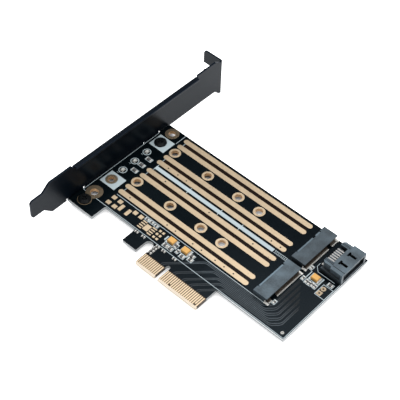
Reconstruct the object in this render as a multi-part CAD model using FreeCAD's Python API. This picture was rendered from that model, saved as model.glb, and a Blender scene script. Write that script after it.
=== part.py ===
import FreeCAD, Part
import math
import os

V = FreeCAD.Vector

# Adapter card for two solid-state drives, in millimetres.
# X runs from the bracket towards the drive sockets, Y from the edge contacts
# towards the far edge, and Z up out of the component side. The origin is on the
# card's mating edge, on the centreline of the key notch, at half the board's
# thickness. Heights with the suffix _h are measured from the component side.

# Circuit board
board_t = 1.6
board_w = 55.05
board_left = -57.15
board_near = 12.75
lobe_right = -42.6
lobe_low = 4.6
hook_left = -24.3
hook_right = -16.3
hook_low = 4.7
tongue_left = -12.15
tongue_right = 22.15
tongue_corner_r = 0.6
inner_corner_r = 1.0
latch_notch_top = 12.4
key_w = 1.9
key_depth = 8.25
bevel_len = 0.7
bevel_deg = 20.0
tooling_hole_inset = (2.4, 2.3)
tooling_hole_r = 0.65
foil_t = 0.05
ink_t = 0.03
ring_sides = 24
same_place = 0.01

# Edge contacts, counted either side of the key notch
contact_pitch = 1.0
contact_w = 0.7
contact_start = 0.8
contact_end = 6.2
contact_first = 1.5
contacts_before_key = 11
contacts_after_key = 21
short_contact_numbers = (5, 19)
short_contact_cut = 0.9

# Drive lanes: the drives plug in at the stop and are fixed at their length
lane_start = 9.3
drive_lengths = (30.0, 42.0, 60.0, 80.0)
lane_m_y = 32.35
lane_pitch = 24.14
strip_offsets = (-8.75, -4.45, 4.45, 8.75)
strip_w = 2.45
strip_lead = 1.15
strip_gap = 5.85
lane_ring_r = 2.72
lane_bore_r = 1.75

# Holes beside the bracket, in one row
mount_inset = 5.1
screw_rows = (9.4, 56.7)
open_holes = ((15.3, 3.9, 1.9), (25.7, 2.8, 1.6), (64.4, 3.3, 1.7))

# Screws
screw_r = 1.5
screw_clearance = 0.1
screw_head_r = 2.9
screw_head_h = 1.4
screw_rim_h = 0.6
screw_crown_r = 1.9
screw_point = 0.7
recess_w = 0.55
recess_len = 3.2
recess_depth = 0.8

# Bracket of folded sheet
sheet_t = 0.86
wall_gap = 0.34
bracket_w = 18.42
bracket_len = 120.02
bracket_low = -0.15
flange_top_y = 104.43
flange_depth = 11.43
flange_drop = 3.2
flange_drop_high = 1.9
flange_corner_r = 1.6
ramp_start = 5.2
ramp_end = 1.7
slot_w = 4.8
slot_centre_depth = 5.08
lip_start = 9.4
lip_end = 85.9
lip_depth = 3.0
tip_low = 4.3
tip_w = 10.3
tip_corner_r = 1.7
taper_start = -4.4
taper_end = -8.8
tab_half_w = 4.4
relief_w = 1.1
relief_depth = 1.3

# Drive sockets
socket_h = 3.0
socket_reach = 3.15
socket_len = 7.2
socket_half = 10.95
socket_chamfer = 0.9
socket_chamfer_h = 0.4
overhang_depth = 1.1
overhang_t = 0.5
card_slot_half = 10.0
card_slot_low_h = 1.2
card_slot_t = 1.0
drive_clearance = 0.1
key_rib_w = 1.0
lip_gap_depth = 0.8
tail_pitch = 0.5
tail_w = 0.3
tail_t = 0.18
tail_reach = 0.75
tail_shoulder_h = 2.1
tail_outer = 9.75
m_key = -6.1
b_key = 5.6
m_tail_gap = (-7.8, -5.2)
b_tail_gap = (4.7, 6.6)
m_lip_gaps = ((-8.1, -7.6), (7.3, 7.8))
b_lip_gaps = ((-7.9, -7.4), (2.7, 4.5), (7.3, 7.8))
hold_down_w = 0.6
hold_down_inset = 0.15
hold_down_t = 0.25
hold_down_up = 1.3

# Data port
port_y = 57.65
port_gap = 5.2
port_inset = 0.2
port_len = 10.8
port_rear_len = 4.5
port_h = 6.0
port_half = 8.2
port_rear_half = 7.3
port_foot_h = 2.4
port_corner = 0.9
bay_half = 4.75
bay_len = 3.7
bay_floor_h = 0.8
comb_h = 4.3
comb_w = 0.5
comb_setback = 1.1
port_pitch = 1.27
port_ways = 7
cavity_half = 6.9
cavity_len = 5.5
cavity_low_h = 1.1
cavity_high_h = 5.3
blade_half = 5.2
blade_t = 1.2
blade_h = 2.4
blade_setback = 0.8
blade_foot = 1.6
window_offset = 2.95
window_w = 1.3
window_setback = 1.4
window_head_w = 2.4
window_head_len = 0.9
side_recess = 0.5
side_recess_end = 0.9
groove_w = 0.3
groove_depth = 0.25
port_lead_w = 0.6
port_lead_t = 0.25
port_lead_reach = 1.3
port_lead_shift = -0.55

# Small parts: x, y, with x counted from the sockets' rear for the rear ones
capacitor_size = (3.5, 2.7, 1.6)
capacitor_end_w = 1.3
capacitor_end_t = 0.15
near_capacitors = ((-8.2, 18.35), (-0.45, 18.5))
rear_capacitors = ((6.45, 45.0),)
lamp_size = (1.6, 1.2, 0.6)
lamp_offset = -0.35
lamp_rows = (48.3, 40.6, 33.1)
lamp_resistor_offset = 3.65
lamp_resistor_rows = (45.6, 40.9, 36.45)
lamp_resistor_size = (2.6, 1.3, 0.5)
chip_size = (1.6, 0.8, 0.5)
chips_along_x = (
    (-24.4, 20.05), (-21.9, 20.1), (-19.1, 20.0), (-22.9, 12.0), (-18.9, 12.0),
    (-11.0, 7.75), (-11.0, 9.35), (-11.0, 10.85), (-10.8, 12.3), (-7.4, 12.3), (-1.25, 12.3),
)
chips_along_y = ((-3.0, 16.2),)
rear_chips_along_y = (
    (2.45, 41.9), (1.8, 24.3), (1.7, 48.4), (4.5, 41.5), (6.0, 41.4), (7.45, 41.7), (8.8, 41.6),
)
large_chip_size = (2.0, 1.2, 0.6)
large_chips_along_x = ((-9.0, 15.05), (-6.3, 15.05), (0.1, 15.45), (3.8, 16.55), (3.1, 18.4))
large_chips_along_y = ((-5.4, 17.8),)
rear_large_chips_along_x = ((13.1, 46.5),)
end_cap = 0.35

# Bare pads of parts that are not fitted: x, y, width, height
power_pads = (
    (-43.45, 19.1, 2.2, 2.0), (-39.8, 19.1, 2.2, 2.0),
    (-43.45, 15.5, 2.2, 2.0), (-39.8, 15.5, 2.2, 2.0),
    (-37.15, 17.0, 1.7, 3.6), (-33.15, 17.0, 1.7, 3.6),
    (-30.65, 19.1, 2.1, 2.0), (-27.25, 19.1, 2.1, 2.0),
)
chip_leg_pad = (2.3, 0.62)
chip_leg_pitch = 1.27
chip_legs_per_side = 4
chip_left_x = -24.15
chip_right_x = -18.45
chip_y = 16.6
heat_pad = (2.6, 3.4)
dot_pad = 1.15
dot_pitch = (1.8, 2.1)
dot_origin = (-15.85, 15.0)

# Unfitted lamp header
header_inset = 4.1
header_round_y = 43.1
header_square_y = 40.4
header_pad_r = 1.15

# Print on the board
line_w = 0.25
square_offset = 0.9
square_w = 8.9
square_half = 3.9
bar_lead = 0.8
bar_short = 2.65
bar_gap = 1.15
border_inset = 0.4
border_far = 60.6
inner_line_y = 21.2
inner_line_gap = 0.3
header_box_left = 5.4
header_box_right = 0.5
header_box_low = 1.5
header_box_high = 1.9

# Derived positions
board_top = board_t / 2
board_under = -board_t / 2
board_far = board_near + board_w
foil_top = board_top + foil_t
lane_b_y = lane_m_y + lane_pitch
mount_x = board_left + mount_inset
lane_x = mount_x + lane_start
drive_stop = lane_x + drive_lengths[-1]
socket_front = drive_stop - socket_reach
socket_rear = socket_front + socket_len
strip_left = lane_x - strip_lead
strip_right = socket_front - strip_gap
wall_in = board_left - wall_gap
wall_out = wall_in - sheet_t
bracket_high = bracket_low + bracket_w
flange_high = bracket_high - flange_drop_high
tip_y = flange_top_y - bracket_len
flange_end = wall_in - flange_depth
flange_low = bracket_low - flange_drop
bend_in = wall_gap
bend_out = bend_in + sheet_t
tab_low = board_under - sheet_t
slot_z = (flange_low + flange_high) / 2
tail_wall = socket_rear - overhang_depth
port_rear = socket_rear + port_gap
port_front = port_rear + port_len
board_right = port_front + port_inset
port_step = port_rear + port_rear_len
bay_front = port_rear + bay_len
cavity_rear = port_front - cavity_len
header_x = board_right - header_inset
bar_w = lane_pitch - 2 * (strip_offsets[-1] + strip_w / 2 + bar_gap)


# Shared shapes

def block(x0, x1, y0, y1, z0, z1):
    return Part.makeBox(x1 - x0, y1 - y0, z1 - z0, V(x0, y0, z0))


def centred(x, y, w, h, z0, z1):
    return block(x - w / 2, x + w / 2, y - h / 2, y + h / 2, z0, z1)


def rod(x, y, r, z0, z1):
    return Part.makeCylinder(r, z1 - z0, V(x, y, z0))


def prism(points, direction):
    return Part.Face(Part.makePolygon(points + points[:1])).extrude(direction)


def round_strip(x0, x1, y, w, z0, z1):
    ends = [rod(x0, y, w / 2, z0, z1), rod(x1, y, w / 2, z0, z1)]
    return block(x0, x1, y - w / 2, y + w / 2, z0, z1).fuse(ends).removeSplitter()


def merge(shapes):
    return shapes[0].multiFuse(shapes[1:]).removeSplitter()


def edges_along(shape, along, places):
    """Edges that run along one axis through the given places."""
    chosen = []
    for edge in shape.Edges:
        middle = edge.CenterOfMass
        for place in places:
            flat = middle - place
            flat = flat - along * flat.dot(along)
            if flat.Length < same_place:
                chosen.append(edge)
    return chosen


def round_edges(shape, along, places, radius):
    return shape.makeFillet(radius, edges_along(shape, along, places))


def polygon_rod(x, y, r, z0, z1):
    """Upright prism of many sides, its flats at the given radius."""
    reach = r / math.cos(math.pi / ring_sides)
    angles = [2 * math.pi * i / ring_sides for i in range(ring_sides)]
    points = [V(x + reach * math.cos(a), y + reach * math.sin(a), z0) for a in angles]
    return prism(points, V(0, 0, z1 - z0))


def save(name, shapes):
    whole = Part.makeCompound(shapes) if len(shapes) > 1 else shapes[0]
    whole.exportStep("parts/" + name + ".step")


# Circuit board

def board_outline():
    body = block(board_left, board_right, board_near, board_far, board_under, board_top)
    lobe = block(board_left, lobe_right, lobe_low, board_near, board_under, board_top)
    tabs = block(hook_left, tongue_right, 0, board_near, board_under, board_top)
    blank = merge([body, lobe, tabs])
    step = block(hook_left, tongue_left, 0, hook_low, board_under, board_top)
    blank = blank.cut(step)
    corners = [V(tongue_left, 0, 0), V(tongue_right, 0, 0), V(hook_left, hook_low, 0)]
    blank = round_edges(blank, V(0, 0, 1), corners, tongue_corner_r)
    inner = [V(lobe_right, board_near, 0), V(hook_left, board_near, 0)]
    return round_edges(blank, V(0, 0, 1), inner, inner_corner_r)


def notch(x, w, top):
    tip = rod(x, top - w / 2, w / 2, board_under, board_top)
    return tip.fuse(block(x - w / 2, x + w / 2, -1, top - w / 2, board_under, board_top))


def bevels():
    rise = bevel_len * math.tan(math.radians(bevel_deg))
    along = V(tongue_right - tongue_left, 0, 0)
    cuts = []
    for side in (1, -1):
        face = side * board_top
        points = [
            V(tongue_left, 0, face),
            V(tongue_left, bevel_len, face),
            V(tongue_left, 0, face - side * rise),
        ]
        cuts.append(prism(points, along))
    return cuts


def drilled_holes():
    holes = []
    for lane in (lane_m_y, lane_b_y):
        for length in drive_lengths:
            holes.append((drive_stop - length, lane, lane_bore_r))
    for y in screw_rows:
        holes.append((mount_x, y, screw_r + screw_clearance))
    for y, _, bore_r in open_holes:
        holes.append((mount_x, y, bore_r))
    tooling_x = board_right - tooling_hole_inset[0]
    holes.append((tooling_x, board_near + tooling_hole_inset[1], tooling_hole_r))
    return holes


def make_board():
    latch_w = tongue_left - hook_right
    latch_x = (tongue_left + hook_right) / 2
    cuts = [notch(0, key_w, key_depth), notch(latch_x, latch_w, latch_notch_top)]
    cuts += bevels()
    for x, y, bore_r in drilled_holes():
        cuts.append(rod(x, y, bore_r, board_under, board_top))
    return board_outline().cut(cuts)


# Copper on the board

def ring(x, y, ring_r, bore_r):
    plate = polygon_rod(x, y, ring_r, board_top, foil_top)
    return plate.cut(polygon_rod(x, y, bore_r, board_top, foil_top))


def make_lane_rings(lane):
    return [ring(drive_stop - n, lane, lane_ring_r, lane_bore_r) for n in drive_lengths]


def make_mount_rings():
    heads = [rod(mount_x, y, screw_head_r, board_top, foil_top) for y in screw_rows]
    return [ring(mount_x, y, ring_r, bore_r).cut(heads) for y, ring_r, bore_r in open_holes]


def make_strips(lane):
    rows = [lane + offset for offset in strip_offsets]
    return [round_strip(strip_left, strip_right, y, strip_w, board_top, foil_top) for y in rows]


def contact(x, start, z0, z1):
    return block(x - contact_w / 2, x + contact_w / 2, start, contact_end, z0, z1)


def make_contacts(z0, z1, short_numbers):
    made = []
    for i in range(contacts_before_key):
        x = -contact_first - i * contact_pitch
        made.append(contact(x, contact_start, z0, z1))
    for i in range(contacts_after_key):
        x = contact_first + i * contact_pitch
        cut = short_contact_cut if i in short_numbers else 0
        made.append(contact(x, contact_start + cut, z0, z1))
    return made


def make_power_pads():
    return [centred(x, y, w, h, board_top, foil_top) for x, y, w, h in power_pads]


def make_chip_pads():
    made = []
    for i in range(chip_legs_per_side):
        y = chip_y + (i - (chip_legs_per_side - 1) / 2) * chip_leg_pitch
        for x in (chip_left_x, chip_right_x):
            made.append(centred(x, y, chip_leg_pad[0], chip_leg_pad[1], board_top, foil_top))
    middle = (chip_left_x + chip_right_x) / 2
    made.append(centred(middle, chip_y, heat_pad[0], heat_pad[1], board_top, foil_top))
    for i in range(2):
        for j in range(3):
            x = dot_origin[0] + i * dot_pitch[0]
            y = dot_origin[1] + j * dot_pitch[1]
            made.append(centred(x, y, dot_pad, dot_pad, board_top, foil_top))
    return made


def make_header_pads():
    side = 2 * header_pad_r
    round_pad = rod(header_x, header_round_y, header_pad_r, board_top, foil_top)
    return [round_pad, centred(header_x, header_square_y, side, side, board_top, foil_top)]


# Screws

def make_screw(y):
    """Pan head and plain shank turned from one profile, with a crossed recess."""
    crown = board_top + screw_head_h
    point = tab_low - screw_point
    profile = [
        V(0, 0, point),
        V(screw_r, 0, point),
        V(screw_r, 0, board_top),
        V(screw_head_r, 0, board_top),
        V(screw_head_r, 0, board_top + screw_rim_h),
        V(screw_crown_r, 0, crown),
        V(0, 0, crown),
    ]
    screw = Part.Face(Part.makePolygon(profile + profile[:1]))
    screw = screw.revolve(V(0, 0, 0), V(0, 0, 1), 360)
    across = centred(0, 0, recess_len, recess_w, crown - recess_depth, crown)
    along = centred(0, 0, recess_w, recess_len, crown - recess_depth, crown)
    screw = screw.cut([across, along])
    screw.translate(V(mount_x, y, 0))
    return screw


# Bracket

def folded_sheet(corner, leg_a, len_a, leg_b, len_b, along):
    """Sheet folded at a right angle, with its outer corner at the given point."""
    a = V(leg_a)
    b = V(leg_b)
    centre = corner + (a + b) * bend_out
    diagonal = (a + b) * math.sqrt(0.5)
    outer_a = corner + a * bend_out
    outer_b = corner + b * bend_out
    inner_a = outer_a + b * sheet_t
    inner_b = outer_b + a * sheet_t
    end_a = corner + a * len_a
    end_b = corner + b * len_b
    outer_bend = Part.Arc(outer_a, centre - diagonal * bend_out, outer_b).toShape()
    inner_bend = Part.Arc(inner_b, centre - diagonal * bend_in, inner_a).toShape()
    outline = Part.Wire([
        Part.makeLine(end_a, outer_a),
        outer_bend,
        Part.makeLine(outer_b, end_b),
        Part.makeLine(end_b, end_b + a * sheet_t),
        Part.makeLine(end_b + a * sheet_t, inner_b),
        inner_bend,
        Part.makeLine(inner_a, end_a + b * sheet_t),
        Part.makeLine(end_a + b * sheet_t, end_a),
    ])
    return Part.Face(outline).extrude(along)


def bracket_mask():
    """Outline of the unfolded wall and tongue, seen from the side."""
    tip_high = tip_low + tip_w
    outline = [
        V(flange_end, flange_top_y, flange_low),
        V(flange_end, flange_top_y - ramp_end, flange_low),
        V(flange_end, flange_top_y - ramp_start, bracket_low),
        V(flange_end, taper_start, bracket_low),
        V(flange_end, taper_end, tip_low),
        V(flange_end, tip_y, tip_low),
        V(flange_end, tip_y, tip_high),
        V(flange_end, taper_end, tip_high),
        V(flange_end, taper_start, bracket_high),
        V(flange_end, flange_top_y - ramp_start, bracket_high),
        V(flange_end, flange_top_y - ramp_end, flange_high),
        V(flange_end, flange_top_y, flange_high),
    ]
    mask = prism(outline, V(flange_depth, 0, 0))
    corners = [V(0, tip_y, tip_low), V(0, tip_y, tip_high)]
    return round_edges(mask, V(1, 0, 0), corners, tip_corner_r)


def flange_cuts():
    slot_x = flange_end + slot_centre_depth
    low_y = flange_top_y - sheet_t
    hole = Part.makeCylinder(slot_w / 2, sheet_t, V(slot_x, low_y, slot_z), V(0, 1, 0))
    mouth = block(
        flange_end, slot_x, low_y, flange_top_y, slot_z - slot_w / 2, slot_z + slot_w / 2
    )
    return [hole, mouth]


def lip_gap(y0, y1):
    return block(wall_out, wall_in, y0, y1, bracket_high - bend_out, bracket_high)


def make_bracket():
    height = V(0, 0, bracket_high - flange_low)
    corner = V(wall_in, flange_top_y, flange_low)
    sheet = folded_sheet(corner, V(0, -1, 0), bracket_len, V(-1, 0, 0), flange_depth, height)
    sheet = sheet.common(bracket_mask())
    crown = [V(flange_end, 0, flange_high), V(flange_end, 0, flange_low)]
    sheet = round_edges(sheet, V(0, 1, 0), crown, flange_corner_r)
    sheet = sheet.cut(flange_cuts())
    sheet = sheet.cut(lip_gap(lip_start - relief_w, lip_end + relief_w))
    lip = folded_sheet(
        V(wall_out, lip_start, bracket_high),
        V(0, 0, -1), bend_out + sheet_t,
        V(1, 0, 0), lip_depth,
        V(0, lip_end - lip_start, 0),
    )
    pieces = [sheet, lip]
    for y in screw_rows:
        for side in (-1, 1):
            edge = y + side * (tab_half_w + relief_w / 2)
            sheet_cut = block(
                wall_out, wall_in, edge - relief_w / 2, edge + relief_w / 2,
                bracket_low, bracket_low + relief_depth,
            )
            pieces[0] = pieces[0].cut(sheet_cut)
        tab = folded_sheet(
            V(wall_out, y - tab_half_w, tab_low),
            V(0, 0, 1), bracket_low + relief_depth - tab_low,
            V(1, 0, 0), mount_x + tab_half_w - wall_out,
            V(0, 2 * tab_half_w, 0),
        )
        pieces.append(tab.cut(rod(mount_x, y, screw_r, tab_low, board_under)))
    return merge(pieces)


# Drive sockets

def make_socket(lane, key, lip_gaps):
    """Low housing with a chamfered lip over its card slot and an overhang behind."""
    top = board_top + socket_h
    low_y = lane - socket_half
    high_y = lane + socket_half
    section = [
        V(socket_front, low_y, board_top),
        V(socket_front, low_y, top),
        V(socket_rear, low_y, top),
        V(socket_rear, low_y, top - overhang_t),
        V(tail_wall, low_y, top - overhang_t),
        V(tail_wall, low_y, board_top),
    ]
    body = prism(section, V(0, high_y - low_y, 0))
    lip_low = lane + lip_gaps[0][1]
    lip_high = lane + lip_gaps[-1][0]
    lip_face = [
        V(socket_front, lip_low, top),
        V(socket_front, lip_low, top - socket_chamfer_h),
        V(socket_front + socket_chamfer, lip_low, top),
    ]
    slot_low = board_top + card_slot_low_h
    slot_high = slot_low + card_slot_t
    slot_end = drive_stop + drive_clearance
    rib_low = lane + key - key_rib_w / 2
    rib_high = lane + key + key_rib_w / 2
    cuts = [
        prism(lip_face, V(0, lip_high - lip_low, 0)),
        block(socket_front, slot_end, lane - card_slot_half, rib_low, slot_low, slot_high),
        block(socket_front, slot_end, rib_high, lane + card_slot_half, slot_low, slot_high),
    ]
    for y0, y1 in lip_gaps:
        gap_rear = socket_front + lip_gap_depth
        cuts.append(block(socket_front, gap_rear, lane + y0, lane + y1, slot_low, top))
    return body.cut(cuts)


def socket_tail(y):
    foot = socket_rear + tail_reach
    shoulder = board_top + tail_shoulder_h
    section = [
        V(tail_wall, y, shoulder),
        V(socket_rear, y, board_top + tail_t),
        V(foot, y, board_top + tail_t),
        V(foot, y, board_top),
        V(socket_rear - tail_t / 2, y, board_top),
        V(tail_wall, y, shoulder - 2 * tail_t),
    ]
    return prism(section, V(0, tail_w, 0))


def make_socket_tails(lane, gap):
    count = int(round(2 * tail_outer / tail_pitch)) + 1
    made = []
    for i in range(count):
        offset = -tail_outer + i * tail_pitch
        if gap[0] < offset < gap[1]:
            continue
        made.append(socket_tail(lane + offset - tail_w / 2))
    return made


def make_hold_downs(lane):
    """Angled foot under each rear corner of a socket, soldered to the board."""
    made = []
    foot_end = socket_rear + tail_reach
    wall_x = tail_wall + hold_down_t
    for out in (-1, 1):
        y = lane + out * (socket_half - hold_down_inset)
        y0 = y - hold_down_w / 2
        y1 = y + hold_down_w / 2
        foot = block(tail_wall, foot_end, y0, y1, board_top, board_top + hold_down_t)
        wall = block(tail_wall, wall_x, y0, y1, board_top, board_top + hold_down_up)
        made.append(merge([foot, wall]))
    return made


# Data port

def port_lead_offsets():
    middle = (port_ways - 1) / 2
    return [port_lead_shift + (i - middle) * port_pitch for i in range(port_ways)]


def port_block(x0, x1, half, h0, h1):
    return block(x0, x1, port_y - half, port_y + half, board_top + h0, board_top + h1)


def port_shell():
    foot = port_block(port_rear, port_front, port_half, 0, port_foot_h)
    front = port_block(port_step, port_front, port_half, 0, port_h)
    rear = port_block(port_rear, port_front, port_rear_half, 0, port_h)
    rear_corners = [V(port_rear, port_y + s * port_rear_half, 0) for s in (-1, 1)]
    rear = rear.makeChamfer(port_corner, edges_along(rear, V(0, 0, 1), rear_corners))
    return merge([foot, front, rear])


def port_windows():
    cuts = []
    z0 = board_top + cavity_high_h
    z1 = board_top + port_h
    window_front = port_front - window_setback
    for side in (-1, 1):
        y = port_y + side * window_offset
        cuts.append(block(cavity_rear, window_front, y - window_w / 2, y + window_w / 2, z0, z1))
        head = window_head_w / 2
        cuts.append(block(cavity_rear, cavity_rear + window_head_len, y - head, y + head, z0, z1))
    return cuts


def port_side_recesses():
    cuts = []
    for side in (-1, 1):
        face = port_y + side * port_half
        inner = face - side * side_recess
        y0, y1 = sorted((face, inner))
        z0 = board_top + port_foot_h
        z1 = board_top + port_h - side_recess
        cuts.append(block(port_step, port_front - side_recess_end, y0, y1, z0, z1))
    return cuts


def port_grooves():
    z1 = board_top + port_h
    z0 = z1 - groove_depth
    cuts = []
    for side in (-1, 1):
        for k in range(2):
            y = port_y + side * (bay_half + (k + 1) * 2 * groove_w)
            cuts.append(block(port_rear, port_step, y - groove_w / 2, y + groove_w / 2, z0, z1))
    edge_y = port_y - port_rear_half + port_corner
    cuts.append(block(port_step, port_front, edge_y - groove_w / 2, edge_y + groove_w / 2, z0, z1))
    return cuts


def make_port_housing():
    bay = port_block(port_rear, bay_front, bay_half, bay_floor_h, port_h)
    cavity = port_block(cavity_rear, port_front, cavity_half, cavity_low_h, cavity_high_h)
    cuts = [bay, cavity] + port_windows() + port_side_recesses() + port_grooves()
    shell = port_shell().cut(cuts)
    blade_front = port_front - blade_setback
    blade = port_block(cavity_rear, blade_front, blade_half, blade_h, blade_h + blade_t)
    foot_y = port_y - blade_half
    blade_toe = block(
        cavity_rear, blade_front, foot_y, foot_y + blade_t,
        board_top + blade_foot, board_top + blade_h,
    )
    pieces = [shell, blade, blade_toe]
    comb_front = bay_front - comb_setback
    for i in range(port_ways + 1):
        y = port_y + port_lead_shift + (i - port_ways / 2) * port_pitch
        z0 = board_top + bay_floor_h
        z1 = board_top + comb_h
        pieces.append(block(port_rear, comb_front, y - comb_w / 2, y + comb_w / 2, z0, z1))
    return merge(pieces)


def make_port_leads():
    """Leads that cross the bay, turn down behind the housing and end in flat feet."""
    made = []
    top_h = board_top + comb_h
    knee = port_rear - port_lead_t
    foot_end = knee - port_lead_reach
    for offset in port_lead_offsets():
        y = port_y + offset - port_lead_w / 2
        section = [
            V(foot_end, y, board_top),
            V(foot_end, y, board_top + port_lead_t),
            V(knee - port_lead_t, y, board_top + port_lead_t),
            V(knee, y, board_top + 2 * port_lead_t),
            V(knee, y, top_h),
            V(bay_front, y, top_h),
            V(bay_front, y, top_h - port_lead_t),
            V(port_rear, y, top_h - port_lead_t),
            V(port_rear, y, board_top),
        ]
        made.append(prism(section, V(0, port_lead_w, 0)))
    return made


# Small parts

def boxed_part(x, y, size, turned):
    length, width, height = size
    if turned:
        length, width = width, length
    return centred(x, y, length, width, board_top, board_top + height)


def end_caps(x, y, size, turned, cap):
    """Body and its two wrapped ends, cut from one box along its length."""
    whole = boxed_part(x, y, size, turned)
    reach = size[0] / 2 - cap
    if turned:
        core = centred(x, y, size[1], 2 * reach, board_top, board_top + size[2])
    else:
        core = centred(x, y, 2 * reach, size[1], board_top, board_top + size[2])
    return whole.common(core), whole.cut(core).Solids


def make_chips():
    bodies = []
    ends = []
    lamp_resistor_x = mount_x + lamp_resistor_offset
    places = [(x, y, chip_size, False) for x, y in chips_along_x]
    places += [(x, y, chip_size, True) for x, y in chips_along_y]
    places += [(socket_rear + x, y, chip_size, True) for x, y in rear_chips_along_y]
    places += [(x, y, large_chip_size, False) for x, y in large_chips_along_x]
    places += [(x, y, large_chip_size, True) for x, y in large_chips_along_y]
    places += [(socket_rear + x, y, large_chip_size, False) for x, y in rear_large_chips_along_x]
    places += [(lamp_resistor_x, y, lamp_resistor_size, False) for y in lamp_resistor_rows]
    for x, y, size, turned in places:
        body, caps = end_caps(x, y, size, turned, end_cap)
        bodies.append(body)
        ends += caps
    return bodies, ends


def make_lamps():
    bodies = []
    ends = []
    for y in lamp_rows:
        body, caps = end_caps(mount_x + lamp_offset, y, lamp_size, True, end_cap)
        bodies.append(body)
        ends += caps
    return bodies, ends


def make_capacitors():
    bodies = []
    ends = []
    length, width, height = capacitor_size
    rear_places = tuple((socket_rear + x, y) for x, y in rear_capacitors)
    for x, y in near_capacitors + rear_places:
        body = boxed_part(x, y, capacitor_size, False)
        top = [e for e in body.Edges if e.CenterOfMass.z > board_top + height - same_place]
        body = body.makeChamfer(capacitor_end_t * 2, top)
        for side in (-1, 1):
            face = x + side * length / 2
            outer = face + side * capacitor_end_t
            x0, x1 = sorted((face, outer))
            half = capacitor_end_w
            ends.append(block(x0, x1, y - half, y + half, board_top, board_top + height / 2))
        bodies.append(body)
    return bodies, ends


# Print

def make_squares():
    made = []
    middle = mount_x + square_offset
    holes = ((open_holes[1][0], open_holes[1][1]), (screw_rows[1], screw_head_r))
    for y, ring_r in holes:
        plate = centred(middle, y, square_w, 2 * square_half, board_top, board_top + ink_t)
        made.append(plate.cut(polygon_rod(mount_x, y, ring_r, board_top, board_top + ink_t)))
    return made


def make_bar():
    y = (lane_m_y + lane_b_y) / 2
    x0 = strip_left + bar_lead
    x1 = strip_right - bar_short
    return block(x0, x1, y - bar_w / 2, y + bar_w / 2, board_top, board_top + ink_t)


def ink_line(x0, x1, y0, y1):
    half = line_w / 2
    return block(x0 - half, x1 + half, y0 - half, y1 + half, board_top, board_top + ink_t)


def make_lines():
    left = board_left + border_inset
    right = board_right - border_inset
    near = board_near + border_inset
    border = merge([
        ink_line(left, left, near, border_far),
        ink_line(left, right, near, near),
        ink_line(right, right, near, port_y - port_half - border_inset),
    ])
    first_ring = open_holes[0]
    border = border.cut(polygon_rod(mount_x, first_ring[0], first_ring[1], board_top, foil_top))
    inner_end = tail_wall - inner_line_gap
    inner = ink_line(strip_left, inner_end, inner_line_y, inner_line_y)
    x0 = board_right - header_box_left
    x1 = board_right - header_box_right
    y0 = header_square_y - header_box_low
    y1 = header_round_y + header_box_high
    outer_box = ink_line(x0, x1, y0, y1)
    inner_box = block(
        x0 + line_w / 2, x1 - line_w / 2, y0 + line_w / 2, y1 - line_w / 2,
        board_top, board_top + ink_t,
    )
    box = outer_box.cut(inner_box)
    return border.fuse(box).removeSplitter().Solids + [inner]


def make_all():
    under = board_under - foil_t
    chip_bodies, chip_ends = make_chips()
    lamp_bodies, lamp_ends = make_lamps()
    capacitor_bodies, capacitor_ends = make_capacitors()
    save("board", [make_board()])
    save("bracket", [make_bracket()])
    save("bracket_screws", [make_screw(y) for y in screw_rows])
    save("edge_contacts_top", make_contacts(board_top, foil_top, short_contact_numbers))
    save("edge_contacts_bottom", make_contacts(under, board_under, ()))
    save("lane_m_strips", make_strips(lane_m_y))
    save("lane_b_strips", make_strips(lane_b_y))
    save("lane_m_rings", make_lane_rings(lane_m_y))
    save("lane_b_rings", make_lane_rings(lane_b_y))
    save("mount_rings", make_mount_rings())
    save("socket_m_housing", [make_socket(lane_m_y, m_key, m_lip_gaps)])
    save("socket_m_contacts", make_socket_tails(lane_m_y, m_tail_gap))
    save("socket_m_hold_downs", make_hold_downs(lane_m_y))
    save("socket_b_housing", [make_socket(lane_b_y, b_key, b_lip_gaps)])
    save("socket_b_contacts", make_socket_tails(lane_b_y, b_tail_gap))
    save("socket_b_hold_downs", make_hold_downs(lane_b_y))
    save("sata_housing", [make_port_housing()])
    save("sata_contacts", make_port_leads())
    save("capacitor_bodies", capacitor_bodies)
    save("capacitor_ends", capacitor_ends)
    save("lamp_bodies", lamp_bodies)
    save("lamp_ends", lamp_ends)
    save("chip_bodies", chip_bodies)
    save("chip_ends", chip_ends)
    save("power_pads", make_power_pads())
    save("chip_pads", make_chip_pads())
    save("header_pads", make_header_pads())
    save("print_squares", make_squares())
    save("print_bar", [make_bar()])
    save("print_lines", make_lines())


os.makedirs("parts", exist_ok=True)
make_all()
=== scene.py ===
import math

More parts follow.
